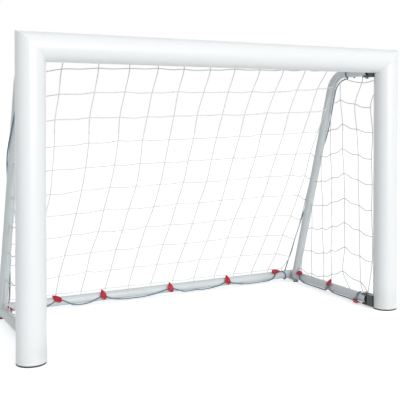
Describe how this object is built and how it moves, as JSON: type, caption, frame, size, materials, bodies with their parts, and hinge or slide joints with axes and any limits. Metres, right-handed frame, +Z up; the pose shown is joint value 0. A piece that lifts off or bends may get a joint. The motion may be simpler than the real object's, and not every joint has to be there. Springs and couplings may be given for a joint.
{
  "type": "folding soccer goal",
  "caption": "Small training goal with a mitred round-tube front frame, hinged side frames, a rear ground tube and a square-mesh net; the back folds flat against the front.",
  "frame": {"origin": "centre of the goal's footprint, on the ground", "axes": "+Z up, -Y out of the goal's mouth, +X along the crossbar to the right as seen from the mouth"},
  "size_m": [1.92, 0.8845, 1.32],
  "materials": {
    "front_white": "glossy white powder coat",
    "side_white": "pale grey-white powder coat",
    "black_plastic": "moulded black plastic",
    "black_bracket": "black painted steel",
    "zinc": "zinc plated",
    "net_twine": "knotted white twine",
    "lacing_rope": "twisted blue-grey rope",
    "red_clip": "glossy red plastic",
    "white_plastic": "moulded white plastic"
  },
  "bodies": {
    "goal_frame": {"left_post": "front_white", "right_post": "front_white", "crossbar": "front_white", "left_foot_cap": "black_plastic", "right_foot_cap": "black_plastic", "left_upper_bracket": "black_bracket", "left_upper_bolt": "zinc", "left_upper_nut": "zinc", "left_lower_bracket": "black_bracket", "left_lower_bolt": "zinc", "left_lower_nut": "zinc", "right_upper_bracket": "black_bracket", "right_upper_bolt": "zinc", "right_upper_nut": "zinc", "right_lower_bracket": "black_bracket", "right_lower_bolt": "zinc", "right_lower_nut": "zinc", "net_hook_1": "white_plastic", "net_hook_2": "white_plastic", "net_hook_3": "white_plastic", "net_hook_4": "white_plastic", "net_hook_5": "white_plastic", "back_net": "net_twine"},
    "left_side_frame": {"left_stay": "side_white", "left_base_tube": "side_white", "left_stay_plug": "black_plastic", "left_base_front_plug": "black_plastic", "left_base_rear_plug": "black_plastic", "left_clip_1": "red_clip", "left_clip_2": "red_clip", "left_clip_3": "red_clip", "left_lacing": "lacing_rope", "left_net": "net_twine"},
    "right_side_frame": {"right_stay": "side_white", "right_base_tube": "side_white", "right_stay_plug": "black_plastic", "right_base_front_plug": "black_plastic", "right_base_rear_plug": "black_plastic", "right_clip_1": "red_clip", "right_clip_2": "red_clip", "right_clip_3": "red_clip", "right_lacing": "lacing_rope", "right_net": "net_twine"},
    "rear_bar": {"rear_ground_tube": "side_white", "left_bar_plug": "black_plastic", "left_corner_lug": "side_white", "left_glide": "black_plastic", "left_corner_bolt": "zinc", "left_corner_nut": "zinc", "right_bar_plug": "black_plastic", "right_corner_lug": "side_white", "right_glide": "black_plastic", "right_corner_bolt": "zinc", "right_corner_nut": "zinc", "rear_clip_1": "red_clip", "rear_clip_2": "red_clip", "rear_clip_3": "red_clip", "rear_clip_4": "red_clip", "rear_clip_5": "red_clip", "rear_lacing": "lacing_rope"}
  },
  "joints": [
    {"name": "fold", "type": "hinge", "parent": "goal_frame", "child": "left_side_frame", "pos_m": [-0.85, -0.29225, 0.0375], "axis": [0, 0, -1], "range_deg": [0, 78], "deforming": ["back_net"]},
    {"name": "rear_pivot", "type": "hinge", "parent": "left_side_frame", "child": "rear_bar", "pos_m": [-0.85, 0.36775, 0.0375], "axis": [0, 0, -1], "range_deg": [-78, 0]},
    {"name": "right_fold", "type": "hinge", "parent": "goal_frame", "child": "right_side_frame", "pos_m": [0.85, -0.29225, 0.0375], "axis": [0, 0, -1], "range_deg": [0, 78]}
  ],
  "couplings": [
    {"joint": "rear_pivot", "follows": "fold", "ratio": -1},
    {"joint": "right_fold", "follows": "fold", "ratio": 1}
  ]
}
